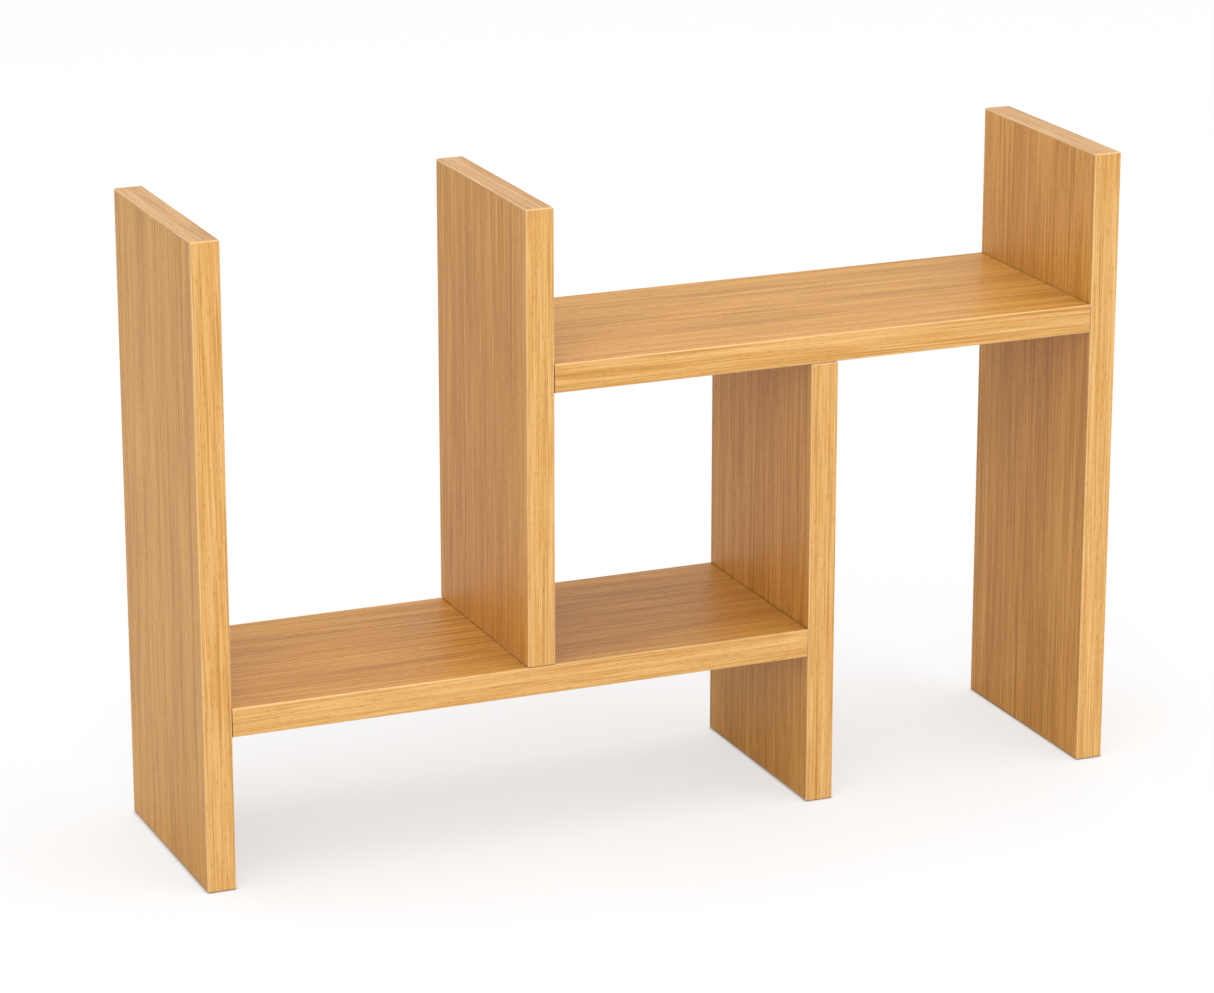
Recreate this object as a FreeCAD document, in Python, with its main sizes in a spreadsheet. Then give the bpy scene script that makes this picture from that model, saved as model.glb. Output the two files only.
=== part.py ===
"""Sliding desktop shelf in two interlocking units, as a parametric FreeCAD document in millimetres.

The lower unit is a tall panel, a shelf and a short panel that stands on the floor.  The upper unit
is the same three boards turned over: its short panel stands on the lower shelf, its shelf passes
over the lower unit's short panel, and its tall panel reaches the floor.  The upper unit slides
along X until a short panel meets a panel of the other unit.

Every board is a veneered core with solid edgings.  Each shelf end is held to its panel by two cam
fittings and two dowels.  +X runs along the shelves, +Y to the back and +Z up.  The origin is on the
floor, in the middle of the overall width and of the depth.
"""

import FreeCAD
import Part
import Sketcher

import os
import re

SIZES = {
    # Boards
    "board_thickness": 18,
    "board_depth": 150,
    "tall_height": 402,
    "shelf_underside": 97,          # floor to the underside of the lower shelf
    "lower_shelf_length": 379,
    "upper_shelf_length": 365,
    "pull_out": 190,                # between the tall and the short panel that stand on the left
    "slide_gap": 0.2,               # between the lower short panel and the upper shelf
    "edging_thickness": 1.5,
    "arris_radius": 1.0,
    "shelf_end_chamfer": 0.8,       # along a shelf's top and bottom where it meets a panel
    # Cams: discs in pockets in the underside of each shelf
    "cam_diameter": 15,
    "cam_roof": 4.5,                # cam above the bolt's axis
    "cam_recess": 0.4,              # cam's face above the shelf's underside
    "cam_rim_chamfer": 0.4,         # round the cam's face
    "cam_setback": 34,              # shelf end to cam centre
    "cam_inset": 52,                # front or back of the board to cam centre
    "driver_slot_length": 7,
    "driver_slot_width": 1.6,
    "driver_slot_depth": 2.2,
    "arrow_size": 2,
    "arrow_depth": 0.4,
    # Bolts: screwed into the panel, with a head that the cam holds
    "bolt_thread_diameter": 6.5,
    "bolt_root_diameter": 4.5,
    "bolt_thread_length": 11,
    "bolt_thread_turns": 4,
    "bolt_collar_diameter": 7.9,
    "bolt_collar_length": 1.5,
    "bolt_shank_diameter": 6,
    "bolt_neck_diameter": 3.6,
    "bolt_neck_margin": 0.6,        # shank end to cam
    "bolt_head_diameter": 6.5,
    "bolt_head_length": 4,
    "bolt_head_band": 1.2,          # full-diameter part of the head
    "bolt_end_gap": 1,
    # Dowels
    "dowel_diameter": 8,
    "dowel_length": 30,
    "dowel_in_panel": 11,
    "dowel_inset": 20,              # front or back of the board to dowel centre
    "dowel_chamfer": 0.8,
    "dowel_end_gap": 1,
    "flute_count": 10,
    "flute_diameter": 1.2,
    # Clearances
    "bore_clearance": 0.05,         # all round a bolt or dowel
    "cam_clearance": 0.05,          # all round a cam
    "head_clearance": 0.3,          # all round a bolt's head and neck inside its cam
    "overcut": 0.5,                 # how far a cut starts outside the surface that it enters
}

# Formulas on the sheet's names.
SHORT_HEIGHT = "(tall_height - shelf_underside - board_thickness)"
LOWER_SHELF_MIDDLE = "(shelf_underside + board_thickness / 2)"
UPPER_SHELF_MIDDLE = f"({SHORT_HEIGHT} + slide_gap + board_thickness / 2)"
LEFT_SIDE = "(-(3 * board_thickness + pull_out + upper_shelf_length) / 2)"
HALF_CORE_DEPTH = "(board_depth / 2 - edging_thickness)"
CAM_FROM_MIDDLE = "(board_depth / 2 - cam_inset)"
DOWEL_FROM_MIDDLE = "(board_depth / 2 - dowel_inset)"
DOWEL_IN_SHELF = "(dowel_length - dowel_in_panel)"
HEAD_ROOM = "(bolt_head_diameter / 2 + head_clearance)"
NECK_ROOM = "(bolt_neck_diameter / 2 + head_clearance)"

# Where each shelf end meets its panel.
LOWER_LEFT_JOINT = f"({LEFT_SIDE} + board_thickness)"
LOWER_RIGHT_JOINT = f"({LOWER_LEFT_JOINT} + lower_shelf_length)"
UPPER_LEFT_JOINT = f"({LEFT_SIDE} + 2 * board_thickness + pull_out)"
UPPER_RIGHT_JOINT = f"({UPPER_LEFT_JOINT} + upper_shelf_length)"

# Sketcher's numbers for a line's ends, a circle's centre, and the sketch's origin and axes.
START, END, CENTRE = 1, 2, 3
HORIZONTAL_AXIS, VERTICAL_AXIS = -1, -2
ORIGIN = (-1, START)

X_AXIS = FreeCAD.Vector(1, 0, 0)
Y_AXIS = FreeCAD.Vector(0, 1, 0)
Z_AXIS = FreeCAD.Vector(0, 0, 1)
STRAIGHT = FreeCAD.Rotation()
FULL_TURN, HALF_TURN, QUARTER_TURN = 360, 180, 90
TURNED_ROUND = FreeCAD.Rotation(Z_AXIS, HALF_TURN)

doc = FreeCAD.newDocument("SlidingShelf")


# ---- The sheet and what is bound to it ----

def make_sheet():
    """Writes each size into the sheet, beside its name."""
    sheet = doc.addObject("Spreadsheet::Sheet", "Sizes")
    for row, (alias, number) in enumerate(SIZES.items(), 1):
        sheet.set(f"A{row}", alias)
        sheet.set(f"B{row}", str(number))
        sheet.setAlias(f"B{row}", alias)
    doc.recompute()
    return sheet


def on_sheet(formula):
    """Returns a formula with each size's name pointing at the sheet."""
    return re.sub(r"[a-z_]+", lambda name: "Sizes." + name.group(), formula)


def value(formula):
    return float(sheet.evalExpression(on_sheet(formula)))


def bind(item, prop, formula):
    item.setExpression(prop, on_sheet(formula))


# ---- Sketches and features ----

def new_body(label, at, turn=STRAIGHT):
    """Makes a body of its own label, turned, with its origin at three formulas."""
    body = doc.addObject("PartDesign::Body", label)
    body.Label = label
    body.Placement = FreeCAD.Placement(FreeCAD.Vector(), turn)
    for axis, formula in zip("xyz", at):
        bind(body, f"Placement.Base.{axis}", formula)
    return body


def origin_item(body, role):
    return next(item for item in body.Origin.OriginFeatures if item.Role == role)


def new_sketch(body, plane, name, offset="0"):
    """Makes a sketch on one of the body's own origin planes, moved along its normal."""
    sketch = body.newObject("Sketcher::SketchObject", name)
    sketch.AttachmentSupport = [(origin_item(body, plane), "")]
    sketch.MapMode = "FlatFace"
    bind(sketch, "AttachmentOffset.Base.z", offset)
    return sketch


def pin(sketch, geometry, point, x, y):
    """Holds one point of a sketch at the formulas x and y."""
    for kind, formula, axis in (("DistanceX", x, VERTICAL_AXIS), ("DistanceY", y, HORIZONTAL_AXIS)):
        if formula == "0":
            sketch.addConstraint(Sketcher.Constraint("PointOnObject", geometry, point, axis))
        else:
            distance = Sketcher.Constraint(kind, *ORIGIN, geometry, point, value(formula))
            bind(sketch, f"Constraints[{sketch.addConstraint(distance)}]", formula)


def outline(sketch, corners):
    """Draws a closed outline with straight sides through corners, each a pair of formulas."""
    spots = [FreeCAD.Vector(value(x), value(y), 0) for x, y in corners]
    lines = [sketch.addGeometry(Part.LineSegment(spot, following), False)
             for spot, following in zip(spots, spots[1:] + spots[:1])]
    for line, following in zip(lines, lines[1:] + lines[:1]):
        sketch.addConstraint(Sketcher.Constraint("Coincident", line, END, following, START))
    for line, (x, y) in zip(lines, corners):
        pin(sketch, line, START, x, y)


def rectangle(sketch, low, high):
    """Draws a rectangle between two corners."""
    outline(sketch, [low, (high[0], low[1]), high, (low[0], high[1])])


def circle(sketch, x, y, diameter):
    spot = FreeCAD.Vector(value(x), value(y), 0)
    geometry = sketch.addGeometry(Part.Circle(spot, Z_AXIS, value(diameter) / 2), False)
    pin(sketch, geometry, CENTRE, x, y)
    size = sketch.addConstraint(Sketcher.Constraint("Diameter", geometry, value(diameter)))
    bind(sketch, f"Constraints[{size}]", diameter)


def pair_of_circles(sketch, from_middle, height, diameter, upright=False):
    """Draws two circles, one each side of the middle; upright swaps the sketch's two directions."""
    for side in (from_middle, f"-{from_middle}"):
        x, y = (height, side) if upright else (side, height)
        circle(sketch, x, y, diameter)


def pad(body, sketch, length):
    feature = body.newObject("PartDesign::Pad", "Pad")
    feature.Profile = sketch
    bind(feature, "Length", length)
    return feature


def pocket(body, sketch, depth, along_normal=True):
    """Cuts a sketch's shape, along the sketch's normal or against it."""
    feature = body.newObject("PartDesign::Pocket", "Pocket")
    feature.Profile = sketch
    feature.Reversed = along_normal
    bind(feature, "Length", depth)
    return feature


def turned(body, kind, sketch, axis, angle=FULL_TURN):
    """Revolution or Groove of a sketch about one of its own axes."""
    feature = body.newObject(f"PartDesign::{kind}", kind)
    feature.Profile = sketch
    feature.ReferenceAxis = (sketch, [axis])
    feature.Angle = angle
    return feature


def repeated_round(body, feature, axis, count, angle=FULL_TURN):
    """Repeats a cut round one of the body's axes; the tip moves to the pattern."""
    pattern = body.newObject("PartDesign::PolarPattern", "PolarPattern")
    pattern.Originals = [feature]
    pattern.Axis = (origin_item(body, axis), [""])
    pattern.Angle = angle
    bind(pattern, "Occurrences", count)
    body.Tip = pattern


# ---- Boards ----

def panel_core(label, joint, joint_height, bottom, height, turn):
    """An upright board, with blind holes for one shelf end's two dowels and two bolts.

    Its own origin is on the face that the shelf meets, at the shelf's mid height, with the board on
    its +X side.
    """
    body = new_body(label, (joint, "0", joint_height), turn)
    floor = f"-({joint_height} - {bottom} - edging_thickness)"
    section = new_sketch(body, "XY_Plane", "Section", floor)
    rectangle(section, ("0", f"-{HALF_CORE_DEPTH}"), ("board_thickness", HALF_CORE_DEPTH))
    pad(body, section, f"{height} - 2 * edging_thickness")

    bolt_holes = new_sketch(body, "YZ_Plane", "BoltHoles")
    pair_of_circles(bolt_holes, CAM_FROM_MIDDLE, "0", "bolt_thread_diameter + 2 * bore_clearance")
    pocket(body, bolt_holes, "bolt_thread_length + bolt_end_gap")

    dowel_holes = new_sketch(body, "YZ_Plane", "DowelHoles")
    pair_of_circles(dowel_holes, DOWEL_FROM_MIDDLE, "0", "dowel_diameter + 2 * bore_clearance")
    pocket(body, dowel_holes, "dowel_in_panel")


def shelf_core(label, left_joint, middle_height, length):
    """A level board, with cam pockets underneath and bolt and dowel holes in both ends."""
    body = new_body(label, (f"{left_joint} + {length} / 2", "0", middle_height))
    underside = "-board_thickness / 2"
    section = new_sketch(body, "XY_Plane", "Section", underside)
    rectangle(section, (f"-{length} / 2", f"-{HALF_CORE_DEPTH}"), (f"{length} / 2", HALF_CORE_DEPTH))
    board = pad(body, section, "board_thickness")
    doc.recompute()
    end_chamfer = body.newObject("PartDesign::Chamfer", "EndChamfer")
    end_chamfer.Base = (board, [f"Edge{number}" for number, edge in enumerate(board.Shape.Edges, 1)
                                if edge.BoundBox.YLength > value("board_thickness")])
    bind(end_chamfer, "Size", "shelf_end_chamfer")

    cam_pockets = new_sketch(body, "XY_Plane", "CamPockets", underside)
    pair_of_circles(cam_pockets, CAM_FROM_MIDDLE, f"-{length} / 2 + cam_setback",
                    "cam_diameter + 2 * cam_clearance", upright=True)
    cuts = [pocket(body, cam_pockets, "board_thickness / 2 + cam_roof")]

    end = f"-{length} / 2"
    bolt_holes = new_sketch(body, "YZ_Plane", "BoltHoles", end)
    pair_of_circles(bolt_holes, CAM_FROM_MIDDLE, "0", "bolt_collar_diameter + 2 * bore_clearance")
    cuts.append(pocket(body, bolt_holes, "cam_setback"))

    dowel_holes = new_sketch(body, "YZ_Plane", "DowelHoles", end)
    pair_of_circles(dowel_holes, DOWEL_FROM_MIDDLE, "0", "dowel_diameter + 2 * bore_clearance")
    cuts.append(pocket(body, dowel_holes, f"{DOWEL_IN_SHELF} + dowel_end_gap"))

    other_end = body.newObject("PartDesign::Mirrored", "OtherEnd")
    other_end.Originals = cuts
    other_end.MirrorPlane = (origin_item(body, "YZ_Plane"), [""])
    body.Tip = other_end


def edging(label, at, turn, length, rounded):
    """A strip as wide as a board is thick, glued to the board's edge.

    Its own Z runs along the strip and its own Y points into the board, so y = 0 is the face that
    shows.  rounded picks the edges that get the arris radius.
    """
    body = new_body(label, at, turn)
    section = new_sketch(body, "XY_Plane", "Section")
    rectangle(section, ("-board_thickness / 2", "0"), ("board_thickness / 2", "edging_thickness"))
    strip = pad(body, section, length)
    doc.recompute()
    arris = body.newObject("PartDesign::Fillet", "Arris")
    names = [f"Edge{number}" for number, edge in enumerate(strip.Shape.Edges, 1) if rounded(edge)]
    arris.Base = (strip, names)
    bind(arris, "Radius", "arris_radius")


def shows(edge):
    """True for an edge all round the face that shows."""
    return edge.BoundBox.YMax < value("edging_thickness") / 2


def shows_lengthwise(edge):
    return shows(edge) and edge.BoundBox.ZLength > edge.BoundBox.XLength


def off_the_glue_face(edge):
    return edge.BoundBox.YMin < value("edging_thickness") / 2


def panel_edgings(board, centre, bottom, height):
    """Full-height strips front and back, with the top and bottom strips between them."""
    long_way = "board_depth - 2 * edging_thickness"
    front, back = "-board_depth / 2", "board_depth / 2"
    lying_top = FreeCAD.Rotation(X_AXIS, -QUARTER_TURN)
    lying_bottom = FreeCAD.Rotation(X_AXIS, QUARTER_TURN)
    edging(f"{board}_front_edging", (centre, front, bottom), STRAIGHT, height, off_the_glue_face)
    edging(f"{board}_back_edging", (centre, back, bottom), TURNED_ROUND, height, off_the_glue_face)
    edging(f"{board}_top_edging", (centre, f"-{HALF_CORE_DEPTH}", f"{bottom} + {height}"),
           lying_top, long_way, shows_lengthwise)
    edging(f"{board}_bottom_edging", (centre, HALF_CORE_DEPTH, bottom),
           lying_bottom, long_way, shows_lengthwise)


def shelf_edgings(board, left_joint, right_joint, middle_height, length):
    """Strips along the shelf's front and back, from panel to panel."""
    lying = FreeCAD.Rotation(Y_AXIS, QUARTER_TURN)
    edging(f"{board}_front_edging", (left_joint, "-board_depth / 2", middle_height),
           lying, length, shows)
    edging(f"{board}_back_edging", (right_joint, "board_depth / 2", middle_height),
           TURNED_ROUND.multiply(lying), length, shows)


# ---- Fittings: each body's own +X points into the panel, from the face that the shelf meets ----

def dowel(label, at, turn):
    """A chamfered, fluted dowel along X."""
    body = new_body(label, at, turn)
    start = f"-{DOWEL_IN_SHELF}"
    section = new_sketch(body, "YZ_Plane", "Section", start)
    circle(section, "0", "0", "dowel_diameter")
    rod = pad(body, section, "dowel_length")
    doc.recompute()
    ends = body.newObject("PartDesign::Chamfer", "Ends")
    ends.Base = (rod, [f"Edge{number}" for number, edge in enumerate(rod.Shape.Edges, 1)
                       if edge.BoundBox.XLength < value("dowel_chamfer")])
    bind(ends, "Size", "dowel_chamfer")

    flute = new_sketch(body, "YZ_Plane", "Flute", start)
    circle(flute, "0", "dowel_diameter / 2", "flute_diameter")
    repeated_round(body, pocket(body, flute, "dowel_length"), "X_Axis", "flute_count")


def bolt(label, at, turn):
    """A cam bolt along X: ringed thread in the panel, collar on its face, neck and head in the cam."""
    body = new_body(label, at, turn)
    head = "cam_setback"
    shank_end = f"-{head} + cam_diameter / 2 + bolt_neck_margin"
    tip = "bolt_thread_length"
    tip_chamfer = "(bolt_thread_diameter - bolt_root_diameter) / 2"
    profile = new_sketch(body, "XY_Plane", "Profile")
    outline(profile, [
        (tip, "0"),
        (tip, "bolt_root_diameter / 2"),
        (f"{tip} - {tip_chamfer}", "bolt_thread_diameter / 2"),
        ("0", "bolt_thread_diameter / 2"),
        ("0", "bolt_collar_diameter / 2"),
        ("-bolt_collar_length", "bolt_collar_diameter / 2"),
        ("-bolt_collar_length", "bolt_shank_diameter / 2"),
        (shank_end, "bolt_shank_diameter / 2"),
        (shank_end, "bolt_neck_diameter / 2"),
        (f"-{head} + bolt_head_length / 2", "bolt_neck_diameter / 2"),
        (f"-{head} + bolt_head_band / 2", "bolt_head_diameter / 2"),
        (f"-{head} - bolt_head_band / 2", "bolt_head_diameter / 2"),
        (f"-{head} - bolt_head_length / 2", "bolt_neck_diameter / 2"),
        (f"-{head} - bolt_head_length / 2", "0"),
    ])
    turned(body, "Revolution", profile, "H_Axis")

    pitch = "(bolt_thread_length / (bolt_thread_turns + 1))"
    ring = new_sketch(body, "XY_Plane", "ThreadRing")
    crest = "bolt_thread_diameter / 2 + overcut"
    outline(ring, [
        (f"{pitch} * 0.5", crest),
        (f"{pitch}", "bolt_root_diameter / 2"),
        (f"{pitch} * 1.5", crest),
    ])
    rings = body.newObject("PartDesign::LinearPattern", "ThreadRings")
    rings.Originals = [turned(body, "Groove", ring, "H_Axis")]
    rings.Direction = (origin_item(body, "X_Axis"), [""])
    bind(rings, "Length", f"{pitch} * (bolt_thread_turns - 1)")
    bind(rings, "Occurrences", "bolt_thread_turns")
    body.Tip = rings


def cam(label, at, turn):
    """A cam at rest with its bolt locked along +X.

    The cam turns about its own Z through half a turn.  The neck runs in a slot round that half, and
    at the slot's far end, on -X, the mouth that lets the head in comes round to the bolt.
    """
    body = new_body(label, at, turn)
    face = "-board_thickness / 2 + cam_recess"
    disc = new_sketch(body, "XY_Plane", "Disc", face)
    circle(disc, "0", "0", "cam_diameter")
    blank = pad(body, disc, "board_thickness / 2 - cam_recess + cam_roof")
    doc.recompute()
    rim = body.newObject("PartDesign::Chamfer", "Rim")
    rim.Base = (blank, [f"Edge{number}" for number, edge in enumerate(blank.Shape.Edges, 1)
                        if edge.BoundBox.ZMax < 0])
    bind(rim, "Size", "cam_rim_chamfer")

    chamber = new_sketch(body, "XZ_Plane", "Chamber")
    rectangle(chamber, ("0", f"-{HEAD_ROOM}"), (HEAD_ROOM, HEAD_ROOM))
    turned(body, "Groove", chamber, "V_Axis")

    slot = new_sketch(body, "XZ_Plane", "Slot")
    rectangle(slot, ("0", f"-{NECK_ROOM}"), ("cam_diameter / 2 + overcut", NECK_ROOM))
    turned(body, "Groove", slot, "V_Axis", HALF_TURN)

    for name, room, towards_panel in (("NeckWay", NECK_ROOM, True), ("HeadMouth", HEAD_ROOM, False)):
        way = new_sketch(body, "YZ_Plane", name)
        circle(way, "0", "0", f"2 * {room}")
        pocket(body, way, "cam_diameter / 2 + overcut", along_normal=towards_panel)

    arrow = new_sketch(body, "XY_Plane", "Arrow", face)
    outline(arrow, [
        ("-cam_diameter / 2 + arrow_size / 2", "0"),
        ("-cam_diameter / 2 + arrow_size * 1.5", "arrow_size / 2"),
        ("-cam_diameter / 2 + arrow_size * 1.5", "-arrow_size / 2"),
    ])
    pocket(body, arrow, "arrow_depth")

    driver_slot = new_sketch(body, "XY_Plane", "DriverSlot", face)
    rectangle(driver_slot, ("-driver_slot_length / 2", "-driver_slot_width / 2"),
              ("driver_slot_length / 2", "driver_slot_width / 2"))
    slot_cut = pocket(body, driver_slot, "driver_slot_depth")
    repeated_round(body, slot_cut, "Z_Axis", "2", QUARTER_TURN)


def fittings(joint_name, joint, height, turn, into_panel):
    """Two cams, bolts and dowels for one shelf end."""
    cam_x = f"{joint} - {into_panel} * cam_setback"
    for side, sign in (("front", "-"), ("back", "")):
        cam_y = sign + CAM_FROM_MIDDLE
        cam(f"{joint_name}_{side}_cam", (cam_x, cam_y, height), turn)
        bolt(f"{joint_name}_{side}_bolt", (joint, cam_y, height), turn)
        dowel(f"{joint_name}_{side}_dowel", (joint, sign + DOWEL_FROM_MIDDLE, height), turn)


# ---- Assembly ----

def make_unit(unit, left, right, shelf_middle, shelf_length):
    """A shelf between two panels; left and right give each panel's kind, joint, bottom and height."""
    shelf = f"{unit}_shelf"
    shelf_core(f"{shelf}_core", left[1], shelf_middle, shelf_length)
    shelf_edgings(shelf, left[1], right[1], shelf_middle, shelf_length)
    ends = (("left", left, -1, TURNED_ROUND), ("right", right, 1, STRAIGHT))
    for side, (kind, joint, bottom, height), into_panel, turn in ends:
        panel = f"{unit}_{kind}_panel"
        panel_core(f"{panel}_core", joint, shelf_middle, bottom, height, turn)
        centre = f"{joint} + {into_panel} * board_thickness / 2"
        panel_edgings(panel, centre, bottom, height)
        fittings(f"{unit}_{side}", joint, shelf_middle, turn, into_panel)


def check_document():
    """Stops if an object failed, a shape is bad, or a cut or rounding took nothing away."""
    for item in doc.Objects:
        if "Invalid" in item.State or "Error" in item.State:
            raise RuntimeError(f"{item.Label} failed: {item.State}")
    for body in bodies():
        if body.Shape.isNull() or not body.Shape.isValid() or len(body.Shape.Solids) != 1:
            raise RuntimeError(f"{body.Label} is not one valid solid")
        solids = [item for item in body.Group if item.isDerivedFrom("PartDesign::Feature")]
        for before, after in zip(solids, solids[1:]):
            if after.Shape.Volume >= before.Shape.Volume:
                raise RuntimeError(f"{body.Label}: {after.Label} took nothing away")


def bodies():
    return [item for item in doc.Objects if item.isDerivedFrom("PartDesign::Body")]


sheet = make_sheet()
make_unit("lower",
          ("tall", LOWER_LEFT_JOINT, "0", "tall_height"),
          ("short", LOWER_RIGHT_JOINT, "0", SHORT_HEIGHT),
          LOWER_SHELF_MIDDLE, "lower_shelf_length")
make_unit("upper",
          ("short", UPPER_LEFT_JOINT, "(shelf_underside + board_thickness)", SHORT_HEIGHT),
          ("tall", UPPER_RIGHT_JOINT, "0", "tall_height"),
          UPPER_SHELF_MIDDLE, "upper_shelf_length")
doc.recompute()
check_document()

os.makedirs("parts", exist_ok=True)
for body in bodies():
    body.Shape.exportStep(f"parts/{body.Label}.step")
print(f"{len(bodies())} pieces")
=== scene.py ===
"""An extendable wooden desktop shelf: two units of lacquered boards that slide apart.

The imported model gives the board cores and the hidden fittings. This script puts solid edging strips with
rounded arrises on the boards, gives every piece its finish, and lights it on a plain pale floor.
Lengths are in metres.
"""

import math
import random
from collections import namedtuple

import bmesh
import bpy
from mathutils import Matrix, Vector


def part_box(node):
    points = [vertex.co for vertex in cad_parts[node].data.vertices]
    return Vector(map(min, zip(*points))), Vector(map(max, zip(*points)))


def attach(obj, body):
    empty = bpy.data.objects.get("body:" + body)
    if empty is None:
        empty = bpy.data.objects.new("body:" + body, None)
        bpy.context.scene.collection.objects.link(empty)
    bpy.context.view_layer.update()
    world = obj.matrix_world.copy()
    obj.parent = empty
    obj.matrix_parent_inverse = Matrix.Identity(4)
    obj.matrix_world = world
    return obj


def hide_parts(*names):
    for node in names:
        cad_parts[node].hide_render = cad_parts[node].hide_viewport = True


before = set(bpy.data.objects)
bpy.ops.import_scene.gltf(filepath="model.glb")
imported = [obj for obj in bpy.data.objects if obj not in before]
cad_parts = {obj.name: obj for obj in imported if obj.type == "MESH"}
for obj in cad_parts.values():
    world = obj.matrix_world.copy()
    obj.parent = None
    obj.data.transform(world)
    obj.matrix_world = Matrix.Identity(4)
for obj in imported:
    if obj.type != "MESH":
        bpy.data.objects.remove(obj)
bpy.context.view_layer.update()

CHANCE_SEED = 11

MILLIMETRE = 0.001
QUARTER_TURN = math.pi / 2
AXES = {"X": 0, "Y": 1, "Z": 2}
WHITE = (1.0, 1.0, 1.0, 1.0)
BLACK = (0.0, 0.0, 0.0, 1.0)

# The boards, each with the unit that it belongs to.
PANELS = {
    "lower_tall_panel": "lower_unit",
    "lower_short_panel": "lower_unit",
    "upper_short_panel": "upper_unit",
    "upper_tall_panel": "upper_unit",
}
SHELVES = {
    "lower_shelf": "lower_unit",
    "upper_shelf": "upper_unit",
}


# ---------------------------------------------------------------- how a finish is built

# The colour sockets of a Mix node, which come after its sockets for numbers and vectors.
MIX_FIRST = 6
MIX_SECOND = 7
MIX_RESULT = 2
# How high a finish's relief stands, from its lowest to its highest.
RELIEF_DEPTH = 0.05 * MILLIMETRE


class Value:
    """A number that varies over a surface. Arithmetic on it adds the nodes that work it out."""

    def __init__(self, finish, socket):
        self.finish = finish
        self.socket = socket

    def maths(self, operation, first, second=0.0):
        """One Math node. Operations on one number pay no heed to the second."""
        return self.finish.node("ShaderNodeMath", {"operation": operation}, {0: first, 1: second})

    def __add__(self, other):
        return self.maths("ADD", self, other)

    def __radd__(self, other):
        return self.maths("ADD", other, self)

    def __sub__(self, other):
        return self.maths("SUBTRACT", self, other)

    def __rsub__(self, other):
        return self.maths("SUBTRACT", other, self)

    def __mul__(self, other):
        return self.maths("MULTIPLY", self, other)

    def __rmul__(self, other):
        return self.maths("MULTIPLY", other, self)

    def __neg__(self):
        return 0.0 - self

    def __abs__(self):
        return self.maths("ABSOLUTE", self)

    def or_larger(self, other):
        """This value or the other one, whichever is larger."""
        return self.maths("MAXIMUM", self, other)


class Finish:
    """A material, and the one way that nodes are added to it."""

    def __init__(self, name):
        self.material = bpy.data.materials.new(name)
        self.material.use_nodes = True
        self.tree = self.material.node_tree
        self.shader = self.tree.nodes["Principled BSDF"]

    def node(self, kind, settings=None, values=None, output=0):
        """Adds a node: its settings first, then its sockets' values or links. Gives one output."""
        made = self.tree.nodes.new(kind)
        for name, setting in (settings or {}).items():
            if name == "stops":
                set_stops(made.color_ramp, setting)
            else:
                setattr(made, name, setting)
        for name, value in (values or {}).items():
            self.feed(made.inputs[name], value)
        return Value(self, made.outputs[output])

    def feed(self, socket, value):
        """Links a socket to a value that varies, or sets it to one that doesn't."""
        if isinstance(value, Value):
            self.tree.links.new(value.socket, socket)
        else:
            socket.default_value = value

    def shade(self, **values):
        """Feeds the shader's own sockets, named with underscores for spaces."""
        for name, value in values.items():
            self.feed(self.shader.inputs[name.replace("_", " ")], value)

    def place(self, shift, turn=(0.0, 0.0, 0.0)):
        """The piece's own coordinates, turned and then moved."""
        values = {
            "Vector": self.node("ShaderNodeTexCoord", output="Object"),
            "Location": shift,
            "Rotation": turn,
        }
        return self.node("ShaderNodeMapping", values=values)

    def noise(self, place, sizes, detail):
        """Noise from 0 to 1, whose lumps have the given sizes along the three axes."""
        steps = [1 / size for size in sizes]
        stretched = self.node("ShaderNodeVectorMath", {"operation": "MULTIPLY"}, {0: place, 1: steps})
        values = {"Vector": stretched, "Scale": 1.0, "Detail": detail}
        return self.node("ShaderNodeTexNoise", values=values, output="Fac")

    def rise(self, value, start, end):
        """0 below start, 1 above end, and a smooth rise between them."""
        values = {"Value": value, "From Min": start, "From Max": end}
        return self.node("ShaderNodeMapRange", {"interpolation_type": "SMOOTHSTEP"}, values)

    def ramp(self, value, stops):
        """A colour for each value, between stops of (value, (red, green, blue))."""
        return self.node("ShaderNodeValToRGB", {"stops": stops}, {0: value})

    def mixed(self, share, first, second):
        """The second colour over the first, by share."""
        values = {"Factor": share, MIX_FIRST: first, MIX_SECOND: second}
        return self.node("ShaderNodeMix", {"data_type": "RGBA"}, values, output=MIX_RESULT)

    def relief(self, height, strength):
        """A shallow relief, for the shader's Normal."""
        values = {"Height": height, "Strength": strength, "Distance": RELIEF_DEPTH}
        return self.node("ShaderNodeBump", values=values)


def set_stops(ramp, stops):
    """Puts colour stops on a colour ramp in place of its own."""
    while len(ramp.elements) > 1:
        ramp.elements.remove(ramp.elements[-1])
    for number, (position, colour) in enumerate(stops):
        stop = ramp.elements[0] if number == 0 else ramp.elements.new(position)
        stop.position = position
        stop.color = (*colour, 1.0)


# ---------------------------------------------------------------- camera, light and floor

# Angles round the object are in degrees.
CAMERA_AIM = Vector((-0.0118, 0.0023, 0.1928))
CAMERA_AZIMUTH = -22.90
CAMERA_ELEVATION = 17.06
CAMERA_DISTANCE = 2.8207
CAMERA_LENS = 133.35
CAMERA_SENSOR = 36.0

SKY_STRENGTH = 0.82

# The floor is a light table. The camera sees it glow, dimmed into a painted contact shadow round each foot,
# and the object gets the light that a plain pale floor throws back.
FLOOR_SIDE = 24.0
FLOOR_COLOUR = (0.355, 0.355, 0.355, 1.0)
FLOOR_BOUNCE = (0.70, 0.70, 0.70, 1.0)
FLOOR_ROUGHNESS = 0.9
FLOOR_GLOW = 0.588
CONTACT_REACH = 2.5 * MILLIMETRE
CONTACT_SAMPLES = 4


def outward(azimuth, elevation):
    """The direction from the object to a place round it. Azimuth 0 is in front of it, at -Y."""
    round_z = math.radians(azimuth)
    upward = math.radians(elevation)
    level = math.cos(upward)
    return Vector((math.sin(round_z) * level, -math.cos(round_z) * level, math.sin(upward)))


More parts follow.
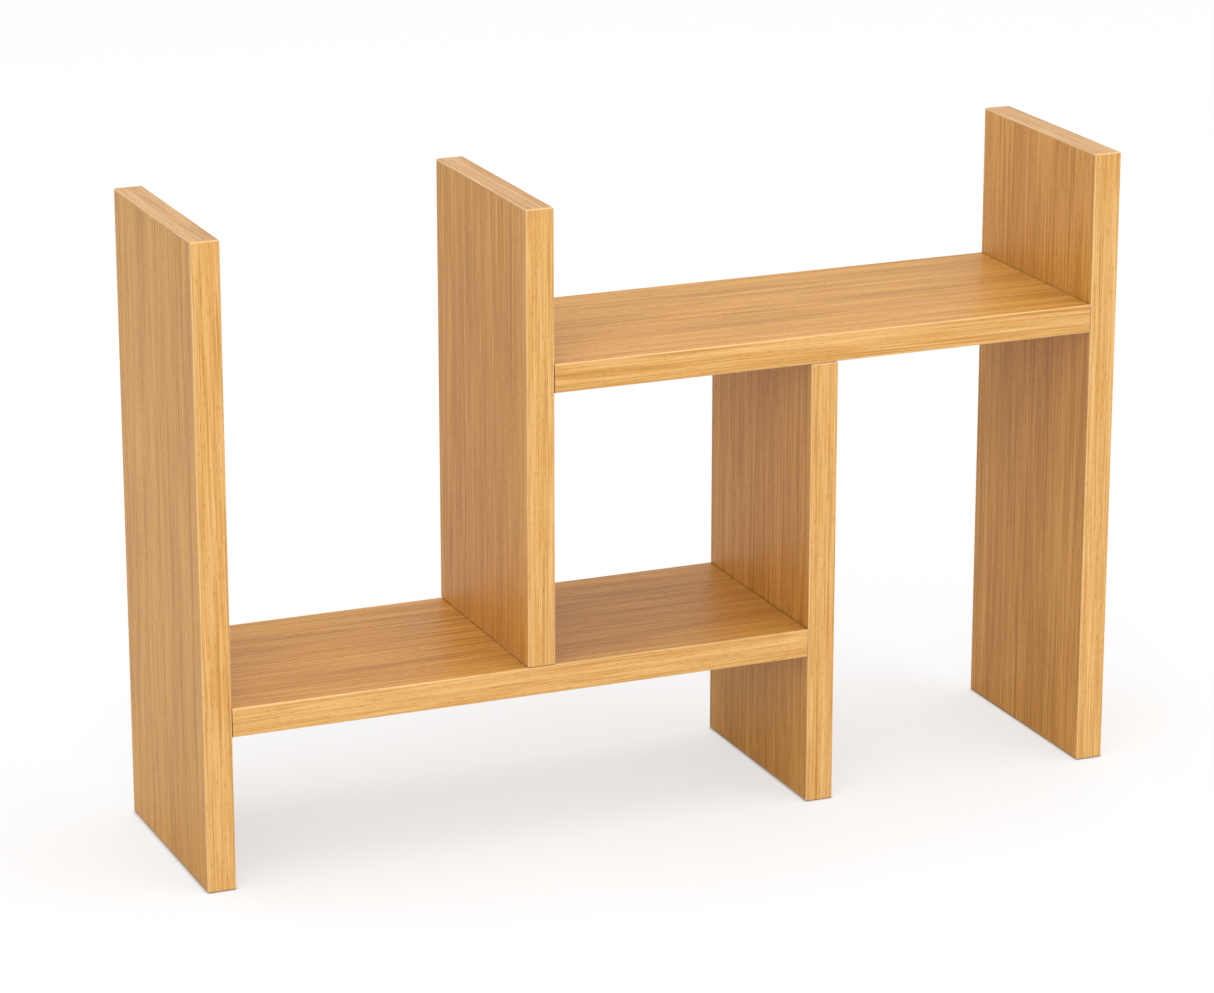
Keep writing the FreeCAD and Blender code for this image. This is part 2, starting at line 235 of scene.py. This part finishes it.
def add_facing(thing, azimuth, elevation, distance):
    """Adds a camera or lamp at a place round the object, upright and facing it."""
    direction = outward(azimuth, elevation)
    thing.location = CAMERA_AIM + distance * direction
    thing.rotation_euler = (-direction).to_track_quat("-Z", "Y").to_euler()
    bpy.context.scene.collection.objects.link(thing)


def make_camera():
    """A long lens, above and to the left of the front."""
    lens = bpy.data.cameras.new("camera")
    lens.lens = CAMERA_LENS
    lens.sensor_width = CAMERA_SENSOR
    camera = bpy.data.objects.new("camera", lens)
    add_facing(camera, CAMERA_AZIMUTH, CAMERA_ELEVATION, CAMERA_DISTANCE)
    bpy.context.scene.camera = camera


def softbox(name, azimuth, elevation, distance, side, power):
    """A square lamp that faces the object."""
    lamp = bpy.data.lights.new(name, "AREA")
    lamp.shape = "SQUARE"
    lamp.size = side
    lamp.energy = power
    add_facing(bpy.data.objects.new(name, lamp), azimuth, elevation, distance)


def make_light():
    """An even sky and three softboxes. Plain view colours keep the white floor white."""
    bpy.context.scene.view_settings.view_transform = "Standard"
    sky = bpy.data.worlds.new("sky")
    sky.use_nodes = True
    background = sky.node_tree.nodes["Background"]
    background.inputs["Color"].default_value = WHITE
    background.inputs["Strength"].default_value = SKY_STRENGTH
    bpy.context.scene.world = sky
    softbox("key_softbox", azimuth=-30, elevation=22, distance=7.0, side=7.0, power=200)
    softbox("fill_softbox", azimuth=50, elevation=30, distance=7.0, side=6.0, power=80)
    softbox("top_softbox", azimuth=0, elevation=88, distance=6.0, side=6.0, power=133)


def make_floor():
    """The light table that the shelf stands on."""
    bpy.ops.mesh.primitive_plane_add(size=FLOOR_SIDE)
    floor = bpy.context.object
    floor.name = "floor"
    table = Finish("light_table")
    seen = table.node("ShaderNodeLightPath", output="Is Camera Ray")
    open_to_light = table.node(
        "ShaderNodeAmbientOcclusion",
        {"samples": CONTACT_SAMPLES},
        {"Distance": CONTACT_REACH},
        output="AO",
    )
    # The glow fades by ambient occlusion near a foot: a painted contact shadow.
    table.shade(
        Base_Color=table.mixed(seen, FLOOR_BOUNCE, FLOOR_COLOUR),
        Roughness=FLOOR_ROUGHNESS,
        Specular_IOR_Level=0.0,
        Emission_Color=table.mixed(seen * open_to_light, BLACK, WHITE),
        Emission_Strength=FLOOR_GLOW,
    )
    floor.data.materials.append(table.material)
    bpy.ops.object.select_all(action="DESELECT")


# ---------------------------------------------------------------- wood

# Noise drawn out along the grain. Width and length are one strand's, and weight is how far the pattern
# moves the wood between its dark and its pale colours.
Strands = namedtuple("Strands", "width length detail weight", defaults=(1.0, 1.0))
# The darker part of a pattern: nothing below start, all of it above end, and how far it darkens the wood.
Marks = namedtuple("Marks", "start end weight")
# A kind of oak, from its broad tones to its single fibres. Its dark lines are the strongest of its lines.
Oak = namedtuple("Oak", "colours tones lines dark_lines fibres pores")

VENEER = Oak(
    colours=[
        (0.25, (0.417, 0.184, 0.031)),
        (0.50, (0.562, 0.266, 0.051)),
        (0.75, (0.677, 0.352, 0.083)),
    ],
    tones=[
        Strands(30 * MILLIMETRE, 400 * MILLIMETRE, weight=0.32),
        Strands(6 * MILLIMETRE, 150 * MILLIMETRE, weight=0.50),
    ],
    lines=Strands(2.0 * MILLIMETRE, 220 * MILLIMETRE, detail=2.0, weight=1.05),
    dark_lines=Marks(start=0.05, end=0.16, weight=0.23),
    fibres=Strands(1.0 * MILLIMETRE, 70 * MILLIMETRE, detail=2.0, weight=1.15),
    pores=Marks(start=0.06, end=0.20, weight=0.22),
)
LIPPING = Oak(
    colours=[
        (0.25, (0.524, 0.238, 0.048)),
        (0.50, (0.671, 0.366, 0.110)),
        (0.75, (0.797, 0.498, 0.195)),
    ],
    tones=[Strands(4 * MILLIMETRE, 220 * MILLIMETRE, weight=0.34)],
    lines=Strands(1.3 * MILLIMETRE, 260 * MILLIMETRE, detail=2.0, weight=1.0),
    dark_lines=Marks(start=0.03, end=0.14, weight=0.25),
    fibres=Strands(0.7 * MILLIMETRE, 50 * MILLIMETRE, detail=2.0, weight=0.8),
    pores=Marks(start=0.06, end=0.20, weight=0.15),
)
# The lipping on a panel's ends has wider lines, and darker, greyer colours: painted shade and painted sheen
# for how the light falls on the top ends.
END_LIPPING = LIPPING._replace(
    colours=[
        (0.25, (0.400, 0.180, 0.044)),
        (0.50, (0.565, 0.307, 0.110)),
        (0.75, (0.690, 0.440, 0.200)),
    ],
    lines=LIPPING.lines._replace(width=2.4 * MILLIMETRE),
)
PORE_STRANDS = Strands(0.6 * MILLIMETRE, 5 * MILLIMETRE)
# Where the figure lies between the dark and the pale colours before any pattern moves it.
OAK_MIDDLE = 0.55

LACQUER_SPECULAR = 0.30
LACQUER_ROUGHNESS = 0.42
FIBRE_ROUGHNESS = 0.10
PORE_ROUGHNESS = 0.06
WOOD_RELIEF = 0.15

BEECH_COLOURS = [
    (0.25, (0.46, 0.270, 0.135)),
    (0.50, (0.60, 0.385, 0.210)),
    (0.75, (0.70, 0.490, 0.295)),
]
BEECH_BANDS = Strands(3.0 * MILLIMETRE, 60 * MILLIMETRE, weight=0.8)
FLECK_STRANDS = Strands(0.5 * MILLIMETRE, 1.6 * MILLIMETRE)
FLECKS = Marks(start=0.08, end=0.20, weight=0.22)
BEECH_MIDDLE = 0.50
BEECH_SPECULAR = 0.25
BEECH_ROUGHNESS = 0.62
FLECK_ROUGHNESS = 0.08

# The turn that lays a pattern's own long axis, Z, along each axis of the object.
GRAIN_TURNS = {
    "X": (0.0, -QUARTER_TURN, 0.0),
    "Y": (QUARTER_TURN, 0.0, 0.0),
    "Z": (0.0, 0.0, 0.0),
}
# By chance, each piece's grain leans a little, and comes from another place in the pattern.
GRAIN_LEAN = 0.008
GRAIN_SHIFT = 4.0

# How squarely a surface faces its nearest axis: halfway round an arris, and where it counts as flat.
MID_ARRIS = math.cos(QUARTER_TURN / 2)
FLAT = 0.995
# A painted highlight on the lipping's rounded arrises: its colour, and how far it covers the wood halfway
# round.
ARRIS_HIGHLIGHT_COLOUR = (0.93, 0.70, 0.40, 1.0)
ARRIS_HIGHLIGHT_SHARE = 0.6
# How far a surface turns towards a joint where painted shade starts, and where it is all painted shade.
STRIP_END = (0.25, 0.60)
STRIP_UNDERSIDE = (0.15, 0.45)
# The colour of the painted shade in the joints: at the ends of the shelves' strips and under the strips.
PAINTED_SHADE_COLOUR = (0.10, 0.035, 0.008, 1.0)


def grain_place(finish, run, draw):
    """The piece's own coordinates, turned so that the grain runs along Z, and moved by chance."""
    turn = [angle + draw.uniform(-GRAIN_LEAN, GRAIN_LEAN) for angle in GRAIN_TURNS[run]]
    shift = [draw.uniform(-GRAIN_SHIFT, GRAIN_SHIFT) for axis in AXES]
    return finish.place(shift, turn)


def strands(finish, place, pattern):
    """Noise drawn out along the grain, from -0.5 to 0.5."""
    sizes = (pattern.width, pattern.width, pattern.length)
    return finish.noise(place, sizes, pattern.detail) - 0.5


def marks(finish, pattern, chosen):
    """1 where a pattern is strong and 0 elsewhere."""
    return finish.rise(pattern, chosen.start, chosen.end)


def oak_wood(finish, run, oak, draw):
    """Straight-grained oak under a satin lacquer: sets its gloss and relief, and gives its colour."""
    place = grain_place(finish, run, draw)
    lines = strands(finish, place, oak.lines)
    dark_lines = marks(finish, lines, oak.dark_lines)
    fibres = strands(finish, place, oak.fibres)
    pores = marks(finish, strands(finish, place, PORE_STRANDS), oak.pores)
    figure = OAK_MIDDLE + oak.lines.weight * lines + oak.fibres.weight * fibres
    figure = figure - oak.dark_lines.weight * dark_lines - oak.pores.weight * pores
    for tone in oak.tones:
        figure = figure + tone.weight * strands(finish, place, tone)
    finish.shade(
        Roughness=LACQUER_ROUGHNESS + FIBRE_ROUGHNESS * fibres + PORE_ROUGHNESS * pores,
        Specular_IOR_Level=LACQUER_SPECULAR,
        Normal=finish.relief(fibres - pores, WOOD_RELIEF),
    )
    return finish.ramp(figure, oak.colours)


def facing(finish):
    """How squarely the surface faces +X, +Y and +Z: three values, below 0 where it faces the other way."""
    normal = finish.node("ShaderNodeTexCoord", output="Normal")
    return [finish.node("ShaderNodeSeparateXYZ", values={0: normal}, output=axis) for axis in AXES]


def arris_mask(finish):
    """0 on the flat faces, and 1 halfway round an arris, where one face turns into the next."""
    along_x, along_y, along_z = [abs(value) for value in facing(finish)]
    nearest = along_x.or_larger(along_y).or_larger(along_z)
    return 1.0 - finish.rise(nearest, MID_ARRIS, FLAT)


def painted_shade_mask(finish, run):
    """1 on the arrises that close on another board or on the desk, where shade is painted, and 0 elsewhere.

    A strip along X closes at its ends, and the other strips close underneath.
    """
    along_x, along_y, along_z = facing(finish)
    if run == "X":
        return finish.rise(abs(along_x), *STRIP_END)
    return arris_mask(finish) * finish.rise(-along_z, *STRIP_UNDERSIDE)


def veneer_finish(name, run, draw):
    """A core's veneer, with painted shade on its arrises, which all lie in joints.

    The mask paints that shade on parts of the bores' round walls too, but the fittings fill those.
    """
    finish = Finish(name)
    wood = oak_wood(finish, run, VENEER, draw)
    finish.shade(Base_Color=finish.mixed(arris_mask(finish), wood, PAINTED_SHADE_COLOUR))
    return finish.material


def lipping_finish(name, run, oak, draw):
    """A strip of solid oak, with a painted highlight on its rounded arrises, and painted shade on those in
    joints.
    """
    finish = Finish(name)
    wood = oak_wood(finish, run, oak, draw)
    highlighted = finish.mixed(ARRIS_HIGHLIGHT_SHARE * arris_mask(finish), wood, ARRIS_HIGHLIGHT_COLOUR)
    finish.shade(Base_Color=finish.mixed(painted_shade_mask(finish, run), highlighted, PAINTED_SHADE_COLOUR))
    return finish.material


def beech_finish(name, run, draw):
    """Bare beech: pale and even, with small dark ray flecks."""
    finish = Finish(name)
    place = grain_place(finish, run, draw)
    bands = strands(finish, place, BEECH_BANDS)
    flecks = marks(finish, strands(finish, place, FLECK_STRANDS), FLECKS)
    figure = BEECH_MIDDLE + BEECH_BANDS.weight * bands - FLECKS.weight * flecks
    finish.shade(
        Base_Color=finish.ramp(figure, BEECH_COLOURS),
        Roughness=BEECH_ROUGHNESS + FLECK_ROUGHNESS * flecks,
        Specular_IOR_Level=BEECH_SPECULAR,
        Normal=finish.relief(-flecks, WOOD_RELIEF),
    )
    return finish.material


# ---------------------------------------------------------------- metal

ZINC_COLOUR = (0.62, 0.62, 0.61)
ZINC_ROUGHNESS = 0.38
STEEL_COLOUR = (0.66, 0.67, 0.68)
STEEL_ROUGHNESS = 0.25

CLOUD_SIZE = 4.0 * MILLIMETRE
CLOUD_DETAIL = 3.0
CLOUD_SHARE = 0.6
GRIT_SIZE = 0.4 * MILLIMETRE
GRIT_DETAIL = 2.0
GRIT_SHARE = 0.4
GRIT_ROUGHNESS = 0.2
GRIT_RELIEF = 0.2
# The darkest tone of a metal, as a share of its colour.
METAL_SHADE = 0.75
METAL_SHIFT = 1.0


def metal_finish(name, colour, roughness, draw):
    """A plated or cast metal with a fine grain in its tone."""
    finish = Finish(name)
    place = finish.place([draw.uniform(-METAL_SHIFT, METAL_SHIFT) for axis in AXES])
    clouds = finish.noise(place, (CLOUD_SIZE, CLOUD_SIZE, CLOUD_SIZE), CLOUD_DETAIL)
    grit = finish.noise(place, (GRIT_SIZE, GRIT_SIZE, GRIT_SIZE), GRIT_DETAIL)
    dark = (*[METAL_SHADE * part for part in colour], 1.0)
    light = (*colour, 1.0)
    finish.shade(
        Base_Color=finish.mixed(CLOUD_SHARE * clouds + GRIT_SHARE * grit, dark, light),
        Metallic=1.0,
        Roughness=roughness + GRIT_ROUGHNESS * (grit - 0.5),
        Normal=finish.relief(grit, GRIT_RELIEF),
    )
    return finish.material


# ---------------------------------------------------------------- edging strips

ARRIS_RADIUS = 1.0 * MILLIMETRE
ARRIS_SEGMENTS = 5
SAME_PLACE = 0.01 * MILLIMETRE
SMOOTH_UNDER = math.radians(40)


def off_the_glue_face(glued, first, second):
    """Picks every edge but the four round the glued face."""
    return not (glued(first) and glued(second))


def round_the_outer_face(glued, first, second):
    """Picks the four edges round the face that shows."""
    return not glued(first) and not glued(second)


def outer_from_front_to_back(glued, first, second):
    """Picks the two edges of the outer face that run from front to back."""
    return round_the_outer_face(glued, first, second) and abs(first.y - second.y) > ARRIS_RADIUS


# An edging strip: the axis across its glued face, the end of that axis that the face is at, which of its
# edges are rounded, the axis that its grain runs along, and its wood.
Edging = namedtuple("Edging", "glue_axis glue_end rounded run oak")

PANEL_EDGINGS = {
    "front_edging": Edging("Y", "high", off_the_glue_face, "Z", LIPPING),
    "back_edging": Edging("Y", "low", off_the_glue_face, "Z", LIPPING),
    "top_edging": Edging("Z", "low", outer_from_front_to_back, "Y", END_LIPPING),
    "bottom_edging": Edging("Z", "high", outer_from_front_to_back, "Y", END_LIPPING),
}
SHELF_EDGINGS = {
    "front_edging": Edging("Y", "high", round_the_outer_face, "X", LIPPING),
    "back_edging": Edging("Y", "low", round_the_outer_face, "X", LIPPING),
}


def block(name, low, high):
    """A block between two corners, with its place in its mesh."""
    bpy.ops.mesh.primitive_cube_add(size=1, location=(low + high) / 2, scale=high - low)
    made = bpy.context.object
    made.name = name
    made.data.name = name
    bpy.ops.object.transform_apply(location=True, rotation=True, scale=True)
    return made


def on_the_glue_face(edging, low, high):
    """A test of whether a corner of the strip between low and high is on its glued face."""
    axis = AXES[edging.glue_axis]
    place = (high if edging.glue_end == "high" else low)[axis]
    return lambda corner: abs(corner[axis] - place) < SAME_PLACE


def round_arrises(strip, rounded, glued):
    """Rounds the edges of a strip that rounded picks."""
    bpy.ops.object.mode_set(mode="EDIT")
    bpy.ops.mesh.select_mode(type="EDGE")
    bpy.ops.mesh.select_all(action="DESELECT")
    mesh = bmesh.from_edit_mesh(strip.data)
    for edge in mesh.edges:
        first, second = [corner.co for corner in edge.verts]
        edge.select_set(rounded(glued, first, second))
    bmesh.update_edit_mesh(strip.data)
    bpy.ops.mesh.bevel(offset=ARRIS_RADIUS, segments=ARRIS_SEGMENTS, profile=0.5, affect="EDGES")
    bpy.ops.object.mode_set(mode="OBJECT")


def shade_rounded(strip):
    """Smooth arrises between flat faces."""
    bpy.ops.object.shade_smooth_by_angle(angle=SMOOTH_UNDER)
    weighting = strip.modifiers.new("even_shading", "WEIGHTED_NORMAL")
    weighting.keep_sharp = True
    bpy.ops.object.modifier_apply(modifier=weighting.name)


def make_strip(node, body, edging, draw):
    """One edging strip, in the place of its plain node."""
    low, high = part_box(node)
    strip = block(node + "_lipping", low, high)
    round_arrises(strip, edging.rounded, on_the_glue_face(edging, low, high))
    shade_rounded(strip)
    strip.data.materials.append(lipping_finish(strip.name, edging.run, edging.oak, draw))
    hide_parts(node)
    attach(strip, body)
    bpy.ops.object.select_all(action="DESELECT")


def make_edgings(draw):
    """Four strips on each panel, and two on each shelf."""
    for boards, edgings in ((PANELS, PANEL_EDGINGS), (SHELVES, SHELF_EDGINGS)):
        for board, body in boards.items():
            for part, edging in edgings.items():
                make_strip(board + "_" + part, body, edging, draw)


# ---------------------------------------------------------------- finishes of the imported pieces


def put_on(node, material):
    """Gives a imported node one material."""
    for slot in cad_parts[node].material_slots:
        slot.material = material


def finish_cores(draw):
    """Veneer on every board, with its grain along the board's length."""
    for boards, run in ((PANELS, "Z"), (SHELVES, "X")):
        for board in boards:
            put_on(board + "_core", veneer_finish(board + "_veneer", run, draw))


def finish_fittings(draw):
    """Metal on the cams and bolts, and bare beech on the dowels."""
    finishes = {
        "_cam": metal_finish("cast_zinc", ZINC_COLOUR, ZINC_ROUGHNESS, draw),
        "_bolt": metal_finish("plated_steel", STEEL_COLOUR, STEEL_ROUGHNESS, draw),
        "_dowel": beech_finish("beech_dowels", "X", draw),
    }
    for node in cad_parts:
        for ending, material in finishes.items():
            if node.endswith(ending):
                put_on(node, material)


# ---------------------------------------------------------------- the scene

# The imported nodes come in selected, and an operator acts on all that is selected.
bpy.ops.object.select_all(action="DESELECT")
make_camera()
make_light()
make_floor()
chance = random.Random(CHANCE_SEED)
finish_cores(chance)
make_edgings(chance)
finish_fittings(chance)
